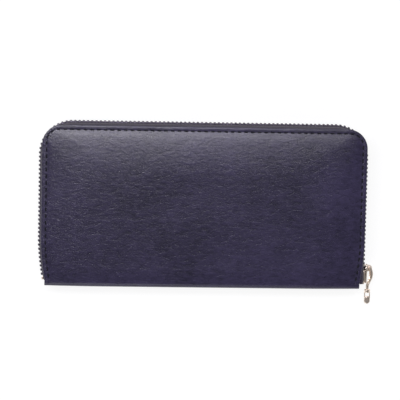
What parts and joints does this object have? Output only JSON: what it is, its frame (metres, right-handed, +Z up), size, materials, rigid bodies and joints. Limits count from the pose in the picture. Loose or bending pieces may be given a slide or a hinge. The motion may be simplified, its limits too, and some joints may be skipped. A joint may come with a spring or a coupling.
{
  "type": "zip around wallet",
  "caption": "Zip around continental wallet: two padded leather covers on a folded spine, zip on three sides with a slider and pull, card pockets and a zipped coin pocket.",
  "frame": {"origin": "middle of the underside of the closed wallet", "axes": "+X along the width, +Y from the spine to the zipped top edge, +Z up through the thickness"},
  "size_m": [0.201, 0.1082, 0.025],
  "materials": {
    "cover_leather": "semi-gloss, fine pressed grain",
    "inner_leather": "semi-gloss, fine pressed grain",
    "lining": "woven, matte",
    "thread": "twisted polyester",
    "tape_cloth": "woven, matte",
    "zip_teeth": "dark gunmetal",
    "coil": "moulded coil",
    "pale_gold": "polished pale gold plating"
  },
  "bodies": {
    "bottom_cover": {"bottom_panel": "cover_leather", "bottom_board": "lining", "bottom_lining": "lining", "bottom_card_pocket_1": "inner_leather", "bottom_card_pocket_2": "inner_leather", "bottom_card_pocket_3": "inner_leather", "bottom_card_pocket_4": "inner_leather", "spine_lower": "cover_leather", "stitching_lower": "thread", "zip_tape_lower": "tape_cloth", "zip_teeth_lower": "zip_teeth", "zip_bottom_stop": "pale_gold", "zip_top_stop_lower": "pale_gold", "gusset_left_lower": "tape_cloth", "gusset_right_lower": "tape_cloth"},
    "coin_pocket": {"coin_wall_back": "inner_leather", "coin_wall_front": "inner_leather", "coin_base": "tape_cloth", "coin_side_left": "tape_cloth", "coin_side_right": "tape_cloth", "coin_tape_back": "tape_cloth", "coin_tape_front": "tape_cloth", "coin_coil_back": "coil", "coin_coil_front": "coil", "coin_end_stops": "pale_gold", "gusset_left_upper": "tape_cloth", "gusset_right_upper": "tape_cloth"},
    "top_cover": {"top_panel": "cover_leather", "top_board": "lining", "top_lining": "lining", "top_card_pocket_1": "inner_leather", "top_card_pocket_2": "inner_leather", "top_card_pocket_3": "inner_leather", "top_card_pocket_4": "inner_leather", "spine_upper": "cover_leather", "stitching_upper": "thread", "zip_tape_upper": "tape_cloth", "zip_teeth_upper": "zip_teeth", "zip_top_stop_upper": "pale_gold"},
    "coin_slider": {"coin_slider": "pale_gold"},
    "coin_pull": {"coin_pull_tab": "pale_gold", "coin_pull_bar": "pale_gold"},
    "slider": {"slider_body": "pale_gold", "slider_lug": "pale_gold"},
    "pull_bail": {"pull_bail": "pale_gold", "pull_crossbar": "pale_gold"},
    "pull_tab": {"pull_tab": "pale_gold"}
  },
  "joints": [
    {"name": "coin_pocket_hinge", "type": "hinge", "parent": "bottom_cover", "child": "coin_pocket", "pos_m": [0, -0.048, 0.0125], "axis": [1, 0, 0], "range_deg": [0, 37.5], "deforming": ["gusset_left_lower", "gusset_right_lower"]},
    {"name": "cover_hinge", "type": "hinge", "parent": "coin_pocket", "child": "top_cover", "pos_m": [0, -0.048, 0.0125], "axis": [1, 0, 0], "range_deg": [0, 37.5], "deforming": ["gusset_left_upper", "gusset_right_upper"]},
    {"name": "slider_slide", "type": "slide", "parent": "bottom_cover", "child": "slider", "axis": [0, 1, 0], "range_m": [0, 0.06]},
    {"name": "pull_hinge", "type": "hinge", "parent": "slider", "child": "pull_bail", "pos_m": [0.1008, -0.0364, 0.0125], "axis": [0, 0, 1], "range_deg": [0, 160]},
    {"name": "tab_swivel", "type": "hinge", "parent": "pull_bail", "child": "pull_tab", "pos_m": [0.1002, -0.0482, 0.0125], "axis": [0, 1, 0], "continuous": true},
    {"name": "coin_slider_slide", "type": "slide", "parent": "coin_pocket", "child": "coin_slider", "axis": [-1, 0, 0], "range_m": [0, 0.15]},
    {"name": "coin_pull_hinge", "type": "hinge", "parent": "coin_slider", "child": "coin_pull", "pos_m": [0.074, 0.0309, 0.0125], "axis": [0, 0, -1], "range_deg": [0, 175]}
  ],
  "couplings": [
    {"joint": "coin_pocket_hinge", "follows": "cover_hinge", "ratio": 1}
  ]
}
